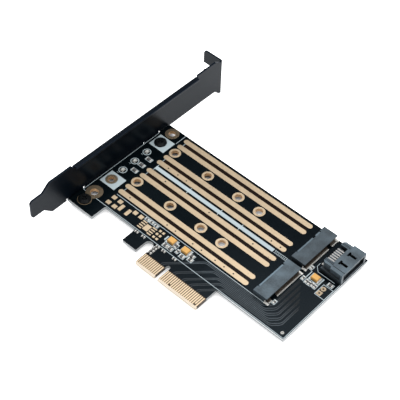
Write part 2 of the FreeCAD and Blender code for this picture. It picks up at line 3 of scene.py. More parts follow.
import bmesh
import bpy
import numpy as np
from mathutils import Matrix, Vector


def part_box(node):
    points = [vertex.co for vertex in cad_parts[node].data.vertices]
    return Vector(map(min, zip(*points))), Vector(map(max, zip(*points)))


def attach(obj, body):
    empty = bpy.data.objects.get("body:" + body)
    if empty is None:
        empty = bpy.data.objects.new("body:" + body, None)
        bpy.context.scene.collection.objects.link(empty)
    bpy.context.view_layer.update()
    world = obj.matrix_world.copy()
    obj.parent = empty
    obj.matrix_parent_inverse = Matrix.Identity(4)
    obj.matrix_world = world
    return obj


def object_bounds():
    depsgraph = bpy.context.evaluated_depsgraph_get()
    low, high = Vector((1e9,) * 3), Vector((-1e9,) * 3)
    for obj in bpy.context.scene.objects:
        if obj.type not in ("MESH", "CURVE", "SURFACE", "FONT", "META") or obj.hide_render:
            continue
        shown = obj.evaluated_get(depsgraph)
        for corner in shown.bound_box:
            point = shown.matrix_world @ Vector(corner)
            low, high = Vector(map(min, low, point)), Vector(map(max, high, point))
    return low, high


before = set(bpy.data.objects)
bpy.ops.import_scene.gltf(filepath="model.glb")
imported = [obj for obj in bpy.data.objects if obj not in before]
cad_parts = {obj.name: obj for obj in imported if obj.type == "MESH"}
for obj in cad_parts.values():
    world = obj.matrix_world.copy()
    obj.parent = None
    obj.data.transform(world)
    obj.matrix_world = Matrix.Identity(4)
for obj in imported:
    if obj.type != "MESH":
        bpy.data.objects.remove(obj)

bl_info = {
    "name": "Drive adapter card",
    "version": (1, 0, 0),
    "blender": (4, 5, 0),
    "location": "3D View > Sidebar > Adapter card",
    "description": "Finishes and fine detail of a plug-in card for two drives",
    "category": "Object",
}

CAD_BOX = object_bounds()
MM = 0.001


def box_mm(node):
    """Lowest and highest corner of a built node, in millimetres."""
    low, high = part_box(node)
    return np.array(low) / MM, np.array(high) / MM


# Places read from the built pieces, in millimetres

BOARD_LOW, BOARD_HIGH = box_mm("board")
FACE = BOARD_HIGH[2]
UNDER = BOARD_LOW[2]
SOCKET_M_LOW, SOCKET_M_HIGH = box_mm("socket_m_housing")
SOCKET_B_LOW, SOCKET_B_HIGH = box_mm("socket_b_housing")
PORT_LOW, PORT_HIGH = box_mm("sata_housing")
LINES_LOW = box_mm("print_lines")[0]
BAR_LOW, BAR_HIGH = box_mm("print_bar")
STRIPS_M_LOW, STRIPS_M_HIGH = box_mm("lane_m_strips")
STRIPS_B_LOW = box_mm("lane_b_strips")[0]
STRIP_REACH = (STRIPS_M_HIGH[1] - STRIPS_M_LOW[1]) / 2
RINGS_M_LOW, RINGS_M_HIGH = box_mm("lane_m_rings")
RINGS_B_LOW, RINGS_B_HIGH = box_mm("lane_b_rings")
RING_R = (RINGS_M_HIGH[1] - RINGS_M_LOW[1]) / 2
LANE_M = (RINGS_M_HIGH[1] + RINGS_M_LOW[1]) / 2
LANE_B = (RINGS_B_HIGH[1] + RINGS_B_LOW[1]) / 2
SCREWS_LOW, SCREWS_HIGH = box_mm("bracket_screws")
MOUNT_X = (SCREWS_LOW[0] + SCREWS_HIGH[0]) / 2
HEAD_R = (SCREWS_HIGH[0] - SCREWS_LOW[0]) / 2
CONTACTS_LOW, CONTACTS_HIGH = box_mm("edge_contacts_top")

# Sizes that the boxes don't give, in millimetres

STRIP_W = 2.45
STRIP_STEP = 4.3
PAIR_GAP = STRIP_STEP - STRIP_W
PAIR_OFFSET = STRIP_REACH - STRIP_W - PAIR_GAP / 2
CONTACT_PITCH = 1.0

# Front lip of a socket, drawn as a band of painted highlight: its width, and how far it stays from the two
# ends
LIP_W = 0.9
LIP_INSETS = (2.9, 3.6)

# Lane holes, counted from the one nearest the sockets, and the open holes beside the
# bracket as place across the board and radius
RING_X = RINGS_M_HIGH[0] - RING_R - np.array([0.0, 12.0, 30.0, 50.0])
LANE_HOLE_R = 1.75
MOUNT_HOLES = ((15.3, 1.9), (25.7, 1.6), (64.4, 1.7))
TOOLING_X = BOARD_HIGH[0] - 2.4
TOOLING_Y = 15.05
TOOLING_R = 0.65

# Traces, in pairs from the contacts to behind the near socket: clear of it by one
# distance, then a step for each pair and a smaller one for the second of a pair
TRACE_STARTS = np.array([-3.5, 3.5, 8.5, 12.5, 16.5])
TRACE_EDGES = (0.9, 1.2)
TRACE_CLEARANCE = 2.2
TRACE_SPREAD = 2.1
TRACE_TWIN = 0.65
TRACE_SLANT = 3.4
TRACE_BEND = 1.2

# Pads: how far each reaches past the ends or feet that stand on it, along and across
PAD_LIFT = 0.035
END_MARGINS = {
    "chip_ends": (0.14, 0.14), "lamp_ends": (0.2, 0.2), "capacitor_ends": (0.3, 0.3),
    "socket_m_hold_downs": (0.3, 0.25), "socket_b_hold_downs": (0.3, 0.25),
}
SOCKET_FOOT_MARGIN = (0.12, 0.04)
PORT_FOOT_MARGIN = (0.25, 0.15)
SCREW_RING = (0.1, 0.4)

# Vias along three of the strips
NEAR_VIAS = (-38.5, -16.2, -11.3, -1.3, 3.7, 11.4, 16.4, 21.6)
MIDDLE_VIAS = (-38.5, -32.7, -27.6, 21.6, 26.6)
FAR_VIAS = (-34.0, -8.0, 17.0)
VIA_LIFT = 0.01
HEADER_HOLE_R = 0.42

# Printed marks: frames stand clear of a part's body by a margin, and its ends reach
# past the body
LAMP_RING_R = 1.6
CHIP_END = 0.35
CHIP_MARGIN = 0.32
CAPACITOR_END = 0.15
CAPACITOR_MARGIN = 0.5
TICK_L = 0.9
BAND_INSET = 0.25
DOT_PITCH = 0.85
DOT_SIZE = (0.26, 0.62)


# Settings that a user would change

def colour(label, about, value):
    """One colour that a user can change."""
    return bpy.props.FloatVectorProperty(
        name=label, description=about, default=value, size=3, min=0.0, max=1.0, subtype="COLOR")


def length(label, about, value_mm):
    """One length that a user can change, given in millimetres."""
    return bpy.props.FloatProperty(
        name=label, description=about, default=value_mm * MM, min=0.0,
        subtype="DISTANCE", unit="LENGTH", precision=5)


class CardColours(bpy.types.PropertyGroup):
    """Colours of the card's finishes."""
    mask: colour("Solder mask", "Glossy lacquer of the board", (0.0010, 0.0022, 0.0030))
    warm: colour("Warm mask", "Lacquer over bare laminate between two strips",
                 (0.0080, 0.0042, 0.0026))
    edge: colour("Board edge", "Cut edge of the glass-fibre laminate", (0.26, 0.27, 0.27))
    rim: colour("Upper board edge", "Brighter upper part of the cut edge, past the contacts",
                (0.56, 0.58, 0.58))
    laminate: colour("Bare laminate", "Unlacquered laminate between the contacts", (0.035, 0.021, 0.011))
    # Bevel: pale cut laminate, partly painted reflection of the gilded contacts above it
    bevel: colour("Bevel", "Cut laminate at the mating edge", (0.50, 0.43, 0.34))
    pour: colour("Pour", "Copper area that shows through the lacquer", (0.0030, 0.0048, 0.0062))
    trace: colour("Traces", "Copper that shows faintly through the lacquer", (0.029, 0.037, 0.043))
    gold: colour("Gold", "Gilded strips, rings and contacts", (0.42, 0.325, 0.215))
    printed: colour("Print", "White print on the board", (0.285, 0.335, 0.350))
    steel: colour("Bracket", "Black coating of the bracket", (0.0012, 0.0024, 0.0045))
    plastic: colour("Connector plastic", "Dark plastic of the sockets and the port", (0.050, 0.068, 0.081))
    resin: colour("Capacitor resin", "Orange moulding of the capacitors", (0.45, 0.245, 0.065))
    lining: colour("Hole lining", "Gilded copper inside a hole", (0.55, 0.34, 0.17))
    # Painted shadow: the lead shoulders are coloured dark for the shade under the socket's overhang
    shoulder: colour("Lead shoulders", "Raised part of the socket leads", (0.060, 0.046, 0.034))
    solder: colour("Tinned metal", "Tinned leads and part ends", (0.52, 0.51, 0.48))


class CardSizes(bpy.types.PropertyGroup):
    """Sizes of the fine detail."""
    trace_w: length("Trace width", "Width of one copper trace", 0.42)
    trace_lift: length("Trace height", "Height of a trace above the lacquer", 0.012)
    print_w: length("Print line", "Width of the thin printed lines", 0.22)
    print_lift: length("Print height", "Height of the print above the lacquer", 0.02)
    via_r: length("Via radius", "Radius of the small plated vias", 0.38)
    lining_t: length("Hole lining", "Wall of the gilded lining inside a hole", 0.05)


# Reading the built pieces

def solids(name):
    """Low and high corners of each separate solid of a built node, in millimetres.
    Points that lie together count as one, and each triangle hands its lowest label
    to its three points until nothing changes."""
    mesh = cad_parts[name].data
    points = np.empty(3 * len(mesh.vertices))
    mesh.vertices.foreach_get("co", points)
    points = points.reshape(-1, 3) / MM
    mesh.calc_loop_triangles()
    triangles = np.empty(3 * len(mesh.loop_triangles), int)
    mesh.loop_triangles.foreach_get("vertices", triangles)
    same = np.unique(points.round(3), axis=0, return_inverse=True)[1].ravel()
    triangles = same[triangles].reshape(-1, 3)
    label = np.arange(same.max() + 1)
    while True:
        after = label.copy()
        np.minimum.at(after, triangles.ravel(), np.repeat(label[triangles].min(1), 3))
        if np.array_equal(after, label):
            break
        label = after
    owner = label[same]
    return [(points[owner == k].min(0), points[owner == k].max(0)) for k in np.unique(owner)]


# Mesh makers

def put(name, parts, material, smooth=False):
    """One piece from (vertices in mm, faces) pairs, riding on the card."""
    verts, faces, count = [], [], 0
    for points, polygons in parts:
        verts.append(np.asarray(points, float))
        faces.extend([tuple(int(i) + count for i in face) for face in polygons])
        count += len(points)
    mesh = bpy.data.meshes.new(name)
    mesh.from_pydata((np.concatenate(verts) * MM).tolist(), [], faces)
    work = bmesh.new()
    work.from_mesh(mesh)
    bmesh.ops.recalc_face_normals(work, faces=work.faces)
    work.to_mesh(mesh)
    work.free()
    mesh.materials.append(material)
    if smooth:
        mesh.polygons.foreach_set("use_smooth", np.ones(len(mesh.polygons), bool))
        mesh.set_sharp_from_angle(angle=math.radians(35))
    mesh.update()
    piece = bpy.data.objects.new(name, mesh)
    bpy.context.scene.collection.objects.link(piece)
    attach(piece, "root")
    return piece


def grid_faces(rows, columns, wrap_rows=False, wrap_columns=False):
    """Quads of a rows by columns grid of points, closed round where asked."""
    i = np.arange(rows if wrap_rows else rows - 1)
    j = np.arange(columns if wrap_columns else columns - 1)
    i, j = (a.ravel() for a in np.meshgrid(i, j, indexing="ij"))
    i2, j2 = (i + 1) % rows, (j + 1) % columns
    return np.stack([i * columns + j, i * columns + j2, i2 * columns + j2, i2 * columns + j], 1)


def ribbon(path, width, low, high):
    """Flat bar along a line: at each point the four corners of its section stand
    half the width to either side, along the mitre of the two runs that meet."""
    p = np.asarray(path, float)
    run = np.diff(p, axis=0)
    run /= np.linalg.norm(run, axis=1)[:, None]
    before = np.vstack([run[:1], run])
    after = np.vstack([run, run[-1:]])
    normal = np.stack([-(before + after)[:, 1], (before + after)[:, 0]], 1)
    normal /= np.linalg.norm(normal, axis=1)[:, None]
    side = np.stack([-before[:, 1], before[:, 0]], 1)
    reach = (width / 2) / np.clip((normal * side).sum(1), 0.3, 1.0)
    left, right = p + normal * reach[:, None], p - normal * reach[:, None]
    n = len(p)
    sections = np.zeros((n, 4, 3))
    sections[:, 0, :2], sections[:, 1, :2] = left, right
    sections[:, 2, :2], sections[:, 3, :2] = right, left
    sections[:, :2, 2], sections[:, 2:, 2] = low, high
    faces = [tuple(f) for f in grid_faces(n, 4, wrap_columns=True)]
    faces += [(3, 2, 1, 0), tuple(4 * (n - 1) + k for k in range(4))]
    return sections.reshape(-1, 3), faces


def annulus(x, y, inner, outer, low, high, steps=40):
    """Flat ring: a four-cornered section carried round a circle."""
    turn = np.linspace(0, 2 * np.pi, steps, endpoint=False)
    radius = np.array([inner, outer, outer, inner])
    level = np.array([low, low, high, high])
    points = np.stack([
        x + np.cos(turn)[:, None] * radius,
        y + np.sin(turn)[:, None] * radius,
        np.broadcast_to(level, (steps, 4)),
    ], 2)
    return points.reshape(-1, 3), grid_faces(steps, 4, True, True)


def disc(x, y, radius, low, high, steps=20):
    """Round plate: two circles joined by quads and closed by a flat cap each."""
    turn = np.linspace(0, 2 * np.pi, steps, endpoint=False)
    circle = np.stack([x + radius * np.cos(turn), y + radius * np.sin(turn)], 1)
    points = np.vstack([
        np.column_stack([circle, np.full(steps, low)]),
        np.column_stack([circle, np.full(steps, high)]),
    ])
    faces = [tuple(f) for f in grid_faces(2, steps, wrap_columns=True)]
    faces += [tuple(range(steps))[::-1], tuple(range(steps, 2 * steps))]
    return points, faces


def frame_lines(x0, x1, y0, y1, width, low, high):
    """Four bars round a rectangle, as one closed band with mitred corners."""
    half = width / 2
    ring = np.array([(x0, y0), (x1, y0), (x1, y1), (x0, y1)], float)
    middle = ring.mean(0)
    away = np.sign(ring - middle)
    points = np.zeros((4, 4, 3))
    points[:, 0, :2] = points[:, 3, :2] = ring - away * half
    points[:, 1, :2] = points[:, 2, :2] = ring + away * half
    points[:, :2, 2], points[:, 2:, 2] = low, high
    return points.reshape(-1, 3), grid_faces(4, 4, True, True)


def plate(x, y, w, h, low, high):
    """Small rectangular plate as a ribbon of two points."""
    return ribbon([(x - w / 2, y), (x + w / 2, y)], h, low, high)


def eased(path, radius):
    """Path whose corners are curves: from one radius before a corner to one radius
    after it, each point is the quadratic blend of the two ends and the corner."""
    p = np.asarray(path, float)
    t = np.linspace(0, 1, 5)[:, None]
    made = [p[:1]]
    for before, corner, after in zip(p[:-2], p[1:-1], p[2:]):
        back = before - corner
        on = after - corner
        start = corner + back * min(0.49, radius / np.linalg.norm(back))
        end = corner + on * min(0.49, radius / np.linalg.norm(on))
        made.append((1 - t) ** 2 * start + 2 * t * (1 - t) * corner + t ** 2 * end)
    made.append(p[-1:])
    return np.concatenate(made)


def slab(low, high, grow_x, grow_y, bottom, top):
    """Plate that reaches a little past a box seen from above."""
    x0, y0 = low[0] - grow_x, low[1] - grow_y
    x1, y1 = high[0] + grow_x, high[1] + grow_y
    return ribbon([(x0, (y0 + y1) / 2), (x1, (y0 + y1) / 2)], y1 - y0, bottom, top)


# Materials

def node(tree, kind, at, **values):
    """New shader node at a place of the node editor, with its settings."""
    made = tree.nodes.new(kind)
    made.location = at
    for key, value in values.items():
        setattr(made, key, value)
    return made


def group_socket(tree, label, direction, kind, value=None):
    """Named input or output of a node group."""
    made = tree.interface.new_socket(name=label, in_out=direction, socket_type=kind)
    if value is not None:
        made.default_value = value
    return made


def surface_grain():
    """Shared effect: two sizes of noise on Object coordinates, put out as one mask."""
    name = "Surface grain"
    if name in bpy.data.node_groups:
        return bpy.data.node_groups[name]
    tree = bpy.data.node_groups.new(name, "ShaderNodeTree")
    group_socket(tree, "Scale", "INPUT", "NodeSocketFloat", 800.0)
    group_socket(tree, "Broad scale", "INPUT", "NodeSocketFloat", 60.0)
    group_socket(tree, "Broad share", "INPUT", "NodeSocketFloat", 0.5)
    group_socket(tree, "Mask", "OUTPUT", "NodeSocketFloat")
    way_in = node(tree, "NodeGroupInput", (-600, 0))
    way_out = node(tree, "NodeGroupOutput", (400, 0))
    where = node(tree, "ShaderNodeTexCoord", (-600, 200))
    fine = node(tree, "ShaderNodeTexNoise", (-300, 200))
    fine.inputs["Detail"].default_value = 3.0
    broad = node(tree, "ShaderNodeTexNoise", (-300, -150))
    broad.inputs["Detail"].default_value = 2.0
    mix = node(tree, "ShaderNodeMix", (100, 0), data_type="FLOAT")
    link = tree.links.new
    link(where.outputs["Object"], fine.inputs["Vector"])
    link(where.outputs["Object"], broad.inputs["Vector"])
    link(way_in.outputs["Scale"], fine.inputs["Scale"])
    link(way_in.outputs["Broad scale"], broad.inputs["Scale"])
    link(way_in.outputs["Broad share"], mix.inputs["Factor"])
    link(fine.outputs["Fac"], mix.inputs["A"])
    link(broad.outputs["Fac"], mix.inputs["B"])
    link(mix.outputs["Result"], way_out.inputs["Mask"])
    return tree


def edge_catch():
    """Shared effect: a mask of the edges, from how far the rounded normal leaves the true one, and the
    rounded normal itself. The mask tells where painted edge highlights go."""
    name = "Edge catch"
    if name in bpy.data.node_groups:
        return bpy.data.node_groups[name]
    tree = bpy.data.node_groups.new(name, "ShaderNodeTree")
    group_socket(tree, "Radius", "INPUT", "NodeSocketFloat", 0.00015)
    group_socket(tree, "Gain", "INPUT", "NodeSocketFloat", 4.0)
    group_socket(tree, "Mask", "OUTPUT", "NodeSocketFloat")
    group_socket(tree, "Normal", "OUTPUT", "NodeSocketVector")
    way_in = node(tree, "NodeGroupInput", (-600, 0))
    way_out = node(tree, "NodeGroupOutput", (500, 0))
    rounded = node(tree, "ShaderNodeBevel", (-400, 100), samples=6)
    true = node(tree, "ShaderNodeNewGeometry", (-400, -150))
    dot = node(tree, "ShaderNodeVectorMath", (-150, 0), operation="DOT_PRODUCT")
    away = node(tree, "ShaderNodeMath", (50, 0), operation="SUBTRACT")
    away.inputs[0].default_value = 1.0
    gain = node(tree, "ShaderNodeMath", (250, 0), operation="MULTIPLY", use_clamp=True)
    link = tree.links.new
    link(way_in.outputs["Radius"], rounded.inputs["Radius"])
    link(rounded.outputs["Normal"], dot.inputs[0])
    link(true.outputs["Normal"], dot.inputs[1])
    link(dot.outputs["Value"], away.inputs[1])
    link(away.outputs["Value"], gain.inputs[0])
    link(way_in.outputs["Gain"], gain.inputs[1])
    link(gain.outputs["Value"], way_out.inputs["Mask"])
    link(rounded.outputs["Normal"], way_out.inputs["Normal"])
    return tree


def crevice():
    """Shared effect: one in the open and nought deep in a slot, from how much of the
    sky the walls nearby hide."""
    name = "Crevice"
    if name in bpy.data.node_groups:
        return bpy.data.node_groups[name]
    tree = bpy.data.node_groups.new(name, "ShaderNodeTree")
    group_socket(tree, "Reach", "INPUT", "NodeSocketFloat", 0.003)
    group_socket(tree, "Depth", "INPUT", "NodeSocketFloat", 2.0)
    group_socket(tree, "Mask", "OUTPUT", "NodeSocketFloat")
    way_in = node(tree, "NodeGroupInput", (-600, 0))
    way_out = node(tree, "NodeGroupOutput", (200, 0))
    open_sky = node(tree, "ShaderNodeAmbientOcclusion", (-400, 0), samples=8)
    power = node(tree, "ShaderNodeMath", (-100, 0), operation="POWER", use_clamp=True)
    link = tree.links.new
    link(way_in.outputs["Reach"], open_sky.inputs["Distance"])
    link(open_sky.outputs["AO"], power.inputs[0])
    link(way_in.outputs["Depth"], power.inputs[1])
    link(power.outputs["Value"], way_out.inputs["Mask"])
    return tree


def zone_box():
    """Shared effect: one inside an upright box of X and Y in Object coordinates and
    nought outside, with a soft edge, as the smallest of four ramps."""
    name = "Zone box"
    if name in bpy.data.node_groups:
        return bpy.data.node_groups[name]
    tree = bpy.data.node_groups.new(name, "ShaderNodeTree")
    for label in ("Left", "Right", "Near", "Far"):
        group_socket(tree, label, "INPUT", "NodeSocketFloat", 0.0)
    group_socket(tree, "Softness", "INPUT", "NodeSocketFloat", 0.0002)
    group_socket(tree, "Mask", "OUTPUT", "NodeSocketFloat")
    way_in = node(tree, "NodeGroupInput", (-900, 0))
    way_out = node(tree, "NodeGroupOutput", (700, 0))
    where = node(tree, "ShaderNodeTexCoord", (-900, 300))
    split = node(tree, "ShaderNodeSeparateXYZ", (-700, 300))
    link = tree.links.new
    link(where.outputs["Object"], split.inputs["Vector"])
    last = None
    for row, (label, axis, rises) in enumerate(
            (("Left", "X", True), ("Right", "X", False), ("Near", "Y", True), ("Far", "Y", False))):
        level = -220 * row
        gap = node(tree, "ShaderNodeMath", (-450, level), operation="SUBTRACT")
        link(split.outputs[axis], gap.inputs[0 if rises else 1])
        link(way_in.outputs[label], gap.inputs[1 if rises else 0])
        ramp = node(tree, "ShaderNodeMath", (-250, level), operation="DIVIDE", use_clamp=True)
        link(gap.outputs["Value"], ramp.inputs[0])
        link(way_in.outputs["Softness"], ramp.inputs[1])
        if last is None:
            last = ramp
            continue
        least = node(tree, "ShaderNodeMath", (0, level), operation="MINIMUM")
        link(last.outputs["Value"], least.inputs[0])
        link(ramp.outputs["Value"], least.inputs[1])
        last = least
    link(last.outputs["Value"], way_out.inputs["Mask"])
    return tree


def shift(base, amount):
    """Colour made lighter or darker by a share of itself, as four values."""
    return (*[min(1.0, c * (1 + amount)) for c in base], 1)


def finish(name, base, roughness, metallic=0.0, vary=0.15, rough_vary=0.08, scale=900.0,
           broad=60.0, share=0.5, bump=0.05, coat=0.0, specular=0.5, tint=(1.0, 1.0, 1.0),
           edge=0.0, edge_radius=0.15):
    """Material whose colour, roughness and relief follow the shared grain. Where edge is given, a painted
    highlight makes its edges lighter by that share of the base, and they shade as if rounded."""
    material = bpy.data.materials.new(name)
    material.use_nodes = True
    tree = material.node_tree
    shader = tree.nodes["Principled BSDF"]
    shader.inputs["Metallic"].default_value = metallic
    shader.inputs["Specular IOR Level"].default_value = specular
    shader.inputs["Specular Tint"].default_value = (*tint, 1)
    shader.inputs["Coat Weight"].default_value = coat
    shader.inputs["Coat Roughness"].default_value = 0.12
    grain = node(tree, "ShaderNodeGroup", (-900, 0))
    grain.node_tree = surface_grain()
    grain.inputs["Scale"].default_value = scale
    grain.inputs["Broad scale"].default_value = broad
    grain.inputs["Broad share"].default_value = share
    ramp = node(tree, "ShaderNodeValToRGB", (-600, 200), label="Base")
    ramp.color_ramp.elements[0].position = 0.3
    ramp.color_ramp.elements[1].position = 0.7
    ramp.color_ramp.elements[0].color = shift(base, -vary)
    ramp.color_ramp.elements[1].color = shift(base, vary)
    rough = node(tree, "ShaderNodeMapRange", (-600, -100))
    rough.inputs["From Min"].default_value = 0.3
    rough.inputs["From Max"].default_value = 0.7
    rough.inputs["To Min"].default_value = max(0.02, roughness - rough_vary)
    rough.inputs["To Max"].default_value = min(1.0, roughness + rough_vary)
    relief = node(tree, "ShaderNodeBump", (-600, -400))
    relief.inputs["Strength"].default_value = bump
    relief.inputs["Distance"].default_value = 0.0002
    link = tree.links.new
    link(grain.outputs["Mask"], ramp.inputs["Fac"])
    link(grain.outputs["Mask"], rough.inputs["Value"])
    link(grain.outputs["Mask"], relief.inputs["Height"])
    link(ramp.outputs["Color"], shader.inputs["Base Color"])
    link(rough.outputs["Result"], shader.inputs["Roughness"])
    link(relief.outputs["Normal"], shader.inputs["Normal"])
    if edge:
        catch = node(tree, "ShaderNodeGroup", (-900, -400))
        catch.node_tree = edge_catch()
        catch.inputs["Radius"].default_value = edge_radius * MM
        catch.inputs["Gain"].default_value = 5.0
        # Painted highlight: the edges' base colour is lifted toward a lighter copy by the edge mask
        lit = node(tree, "ShaderNodeMix", (-250, 200), data_type="RGBA")
        lit.inputs["B"].default_value = shift(base, edge)
        link(catch.outputs["Mask"], lit.inputs["Factor"])
        link(ramp.outputs["Color"], lit.inputs["A"])
        link(lit.outputs["Result"], shader.inputs["Base Color"])
        link(catch.outputs["Normal"], relief.inputs["Normal"])
    return material


def paint(material, mask, tone, at):
    """Lay one more colour over what feeds the shader's base colour, by a mask."""
    tree = material.node_tree
    base = tree.nodes["Principled BSDF"].inputs["Base Color"]
    before = base.links[0].from_socket
    mix = node(tree, "ShaderNodeMix", at, data_type="RGBA")
    mix.inputs["B"].default_value = (*tone, 1)
    tree.links.new(mask, mix.inputs["Factor"])
    tree.links.new(before, mix.inputs["A"])
    tree.links.new(mix.outputs["Result"], base)


def deepen(material, reach, depth):
    """Darken a material where walls close by hide the light."""
    tree = material.node_tree
    base = tree.nodes["Principled BSDF"].inputs["Base Color"]
    before = base.links[0].from_socket
    shade = node(tree, "ShaderNodeGroup", (-500, -700))
    shade.node_tree = crevice()
    shade.inputs["Reach"].default_value = reach * MM
    shade.inputs["Depth"].default_value = depth
    mix = node(tree, "ShaderNodeMix", (-100, -500), data_type="RGBA")
    mix.inputs["A"].default_value = (0.001, 0.001, 0.0012, 1)
    tree.links.new(shade.outputs["Mask"], mix.inputs["Factor"])
    tree.links.new(before, mix.inputs["B"])
    tree.links.new(mix.outputs["Result"], base)


def zone_mask(material, left, right, near, far, softness, at):
    """Mask of one box of the board, given in millimetres."""
    zone = node(material.node_tree, "ShaderNodeGroup", at)
    zone.node_tree = zone_box()
    for label, value in (("Left", left), ("Right", right), ("Near", near), ("Far", far)):
        zone.inputs[label].default_value = value * MM
    zone.inputs["Softness"].default_value = softness * MM
    return zone.outputs["Mask"]


def strip_shade(material, tint):
    """Warm lacquer between the two strips of each pair."""
    middles = [lane + side * PAIR_OFFSET for lane in (LANE_M, LANE_B) for side in (-1, 1)]
    for row, middle in enumerate(middles):
        level = 700 + 200 * row
        mask = zone_mask(material, STRIPS_M_LOW[0] + 2, STRIPS_M_HIGH[0] - 1,
                         middle - PAIR_GAP / 2, middle + PAIR_GAP / 2, 0.3, (-500, level))
        paint(material, mask, tint.warm, (-150, level))


def cut_edge(material, tint):
    """Pale laminate where the surface faces sideways rather than up or down, brighter
    above the middle of its thickness on the stretch past the contacts."""
    tree = material.node_tree
    link = tree.links.new
    facing = node(tree, "ShaderNodeNewGeometry", (-900, 500))
    split = node(tree, "ShaderNodeSeparateXYZ", (-700, 500))
    size = node(tree, "ShaderNodeMath", (-520, 500), operation="ABSOLUTE")
    sideways = node(tree, "ShaderNodeMapRange", (-340, 500))
    sideways.inputs["From Min"].default_value = 0.7
    sideways.inputs["From Max"].default_value = 0.55
    link(facing.outputs["Normal"], split.inputs["Vector"])
    link(split.outputs["Z"], size.inputs[0])
    link(size.outputs["Value"], sideways.inputs["Value"])
    paint(material, sideways.outputs["Result"], tint.edge, (-150, 500))
    where = node(tree, "ShaderNodeTexCoord", (-900, 250))
    level = node(tree, "ShaderNodeSeparateXYZ", (-700, 250))
    upper = node(tree, "ShaderNodeMapRange", (-520, 250))
    upper.inputs["From Min"].default_value = 0.1 * MM
    upper.inputs["From Max"].default_value = 0.3 * MM
    stretch = zone_mask(material, CONTACTS_HIGH[0], BOARD_HIGH[0] + 6, BOARD_LOW[1] - 10,
                        BOARD_HIGH[1] + 10, 6.0, (-700, 50))
    both = node(tree, "ShaderNodeMath", (-340, 250), operation="MULTIPLY")
    link(where.outputs["Object"], level.inputs["Vector"])
    link(level.outputs["Z"], upper.inputs["Value"])
    link(stretch, upper.inputs["To Max"])
    link(upper.outputs["Result"], both.inputs[0])
    link(sideways.outputs["Result"], both.inputs[1])
    paint(material, both.outputs["Value"], tint.rim, (-150, 350))


def contact_edge(material, tint):
    """Bare laminate round the edge contacts, and the paler bevel in front of them, pale cut laminate made
    paler still by painted reflection of the gilded contacts.
    """
    left, right, near = CONTACTS_LOW[0] - 1, BOARD_HIGH[0], BOARD_LOW[1] - 1
    bare = zone_mask(material, left, right, near, CONTACTS_HIGH[1] + 0.4, 0.1, (-500, 1600))
    paint(material, bare, tint.laminate, (-150, 1600))
    tip = zone_mask(material, left, right, near, CONTACTS_LOW[1] + 0.05, 0.1, (-500, 1800))
    # Painted reflection of the contacts, over the cut laminate's own pale colour
    paint(material, tip, tint.bevel, (-150, 1800))


def board_finish(name, tint):
    """Lacquer on the two faces with warm gaps between the strips, a little lighter over
    the copper area beside the near socket, then the cut edge and the contacts' edge."""
    material = finish(name, tint.mask, 0.17, vary=0.25, rough_vary=0.03, scale=500.0, broad=25.0,
                      share=0.6, bump=0.015, specular=0.08, tint=(0.66, 0.84, 1.0))
    strip_shade(material, tint)
    pour = zone_mask(material, CONTACTS_LOW[0] + 22, SOCKET_M_HIGH[0] + 8, LINES_LOW[1] + 0.4,
                     SOCKET_M_LOW[1] - 0.4, 3.0, (-500, 2000))
    paint(material, pour, tint.pour, (-150, 2000))
    cut_edge(material, tint)
    contact_edge(material, tint)
    return material


def connector_plastic(name, base, box=None, reach=2.5, depth=2.2):
    """Dark moulded plastic with painted highlights on its edges, drawn black by painted shade in its slots
    to a reach in millimetres. A box gives its front lip a lighter band of painted highlight."""
    material = finish(name, base, 0.42, vary=0.5, rough_vary=0.12, scale=1600.0, broad=190.0,
                      share=0.7, bump=0.06, specular=0.22, edge=0.8, edge_radius=0.2)
    if box is not None:
        low, high = box
        band = zone_mask(material, low[0] - 1, low[0] + LIP_W, low[1] + LIP_INSETS[0],
                         high[1] - LIP_INSETS[1], 0.15, (-500, 700))
        # Painted highlight: the front lip's band is drawn lighter than the rest of the plastic
        paint(material, band, [c * 2.3 for c in base], (-150, 700))
    # Painted shade: the plastic turns black deep in its slots
    deepen(material, reach, depth)
    return material


def trace_finish(name, tint):
    """Copper under lacquer, fainter beside the edge contacts and fading out along
    the runs behind the socket."""
    material = finish(name, tint.trace, 0.25, scale=600.0, specular=0.15)
    faint = [0.45 * t + 0.55 * m for t, m in zip(tint.trace, tint.mask)]
    near = zone_mask(material, BOARD_LOW[0], BOARD_HIGH[0], BOARD_LOW[1], LINES_LOW[1] + 3, 4.0,
                     (-500, 700))
    paint(material, near, faint, (-150, 700))
    behind = zone_mask(material, SOCKET_M_HIGH[0] - 8, BOARD_HIGH[0] + 15, SOCKET_M_LOW[1] - 3,
                       BOARD_HIGH[1] + 20, 11.0, (-500, 900))
    paint(material, behind, tint.mask, (-150, 900))
    return material


def contact_finish(name, tint):
    """Gilded edge contacts with a painted reflection that darkens their long sides, where the rounded
    sides would mirror the dark surroundings; the sides are told by how far X lies from the nearest whole
    millimetre, which is the middle of a gap."""
    material = finish(name, [c * 1.13 for c in tint.gold], 0.3, metallic=0.68, vary=0.05,
                      rough_vary=0.03, scale=700.0, broad=90.0, bump=0.0)
    tree = material.node_tree
    where = node(tree, "ShaderNodeTexCoord", (-1100, 700))
    split = node(tree, "ShaderNodeSeparateXYZ", (-900, 700))
    away = node(tree, "ShaderNodeMath", (-700, 700), operation="PINGPONG")
    away.inputs[1].default_value = CONTACT_PITCH / 2 * MM
    side = node(tree, "ShaderNodeMapRange", (-500, 700))
    side.inputs["From Min"].default_value = 0.26 * MM
    side.inputs["From Max"].default_value = 0.18 * MM
    tree.links.new(where.outputs["Object"], split.inputs["Vector"])
    tree.links.new(split.outputs["X"], away.inputs[0])
    tree.links.new(away.outputs["Value"], side.inputs["Value"])
    # Painted reflection: the long sides of each contact drawn darker
    paint(material, side.outputs["Result"], [c * 0.42 for c in tint.gold], (-150, 700))
    return material


